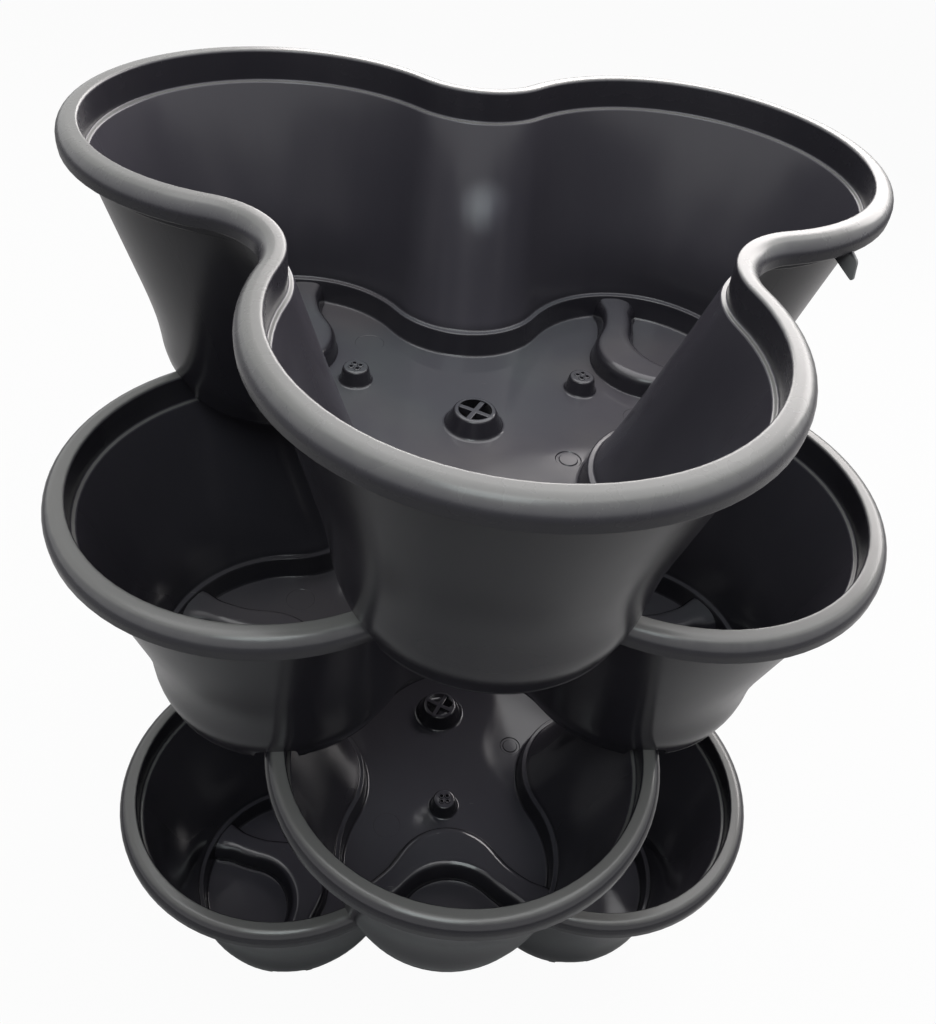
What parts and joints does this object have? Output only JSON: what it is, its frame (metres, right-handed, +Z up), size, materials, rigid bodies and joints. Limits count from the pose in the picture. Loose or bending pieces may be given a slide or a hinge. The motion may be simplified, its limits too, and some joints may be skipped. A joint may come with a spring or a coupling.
{
  "type": "vertical planter tower",
  "caption": "Tower of stacked three-lobed plastic planter tubs with rolled rims, each turned so its lobes stand out over the waists of the tub below.",
  "frame": {"origin": "centre of the footprint, on the ground, on the tower's vertical axis", "axes": "+Z up along the tower's axis; -Y is the front, towards which one lobe of the top tub points"},
  "size_m": [0.3806, 0.41, 0.491],
  "materials": {
    "tub_plastic": "satin charcoal moulded plastic"
  },
  "bodies": {
    "bottom_tub": {"bottom_tub": "tub_plastic"},
    "lower_middle_tub": {"lower_middle_tub": "tub_plastic"},
    "upper_middle_tub": {"upper_middle_tub": "tub_plastic"},
    "top_tub": {"top_tub": "tub_plastic"}
  },
  "joints": [
    {"name": "lower_middle_lift", "type": "slide", "parent": "bottom_tub", "child": "lower_middle_tub", "axis": [0, 0, 1], "range_m": [0, 0.15]},
    {"name": "upper_middle_lift", "type": "slide", "parent": "lower_middle_tub", "child": "upper_middle_tub", "axis": [0, 0, 1], "range_m": [0, 0.15]},
    {"name": "top_lift", "type": "slide", "parent": "upper_middle_tub", "child": "top_tub", "axis": [0, 0, 1], "range_m": [0, 0.15]}
  ]
}
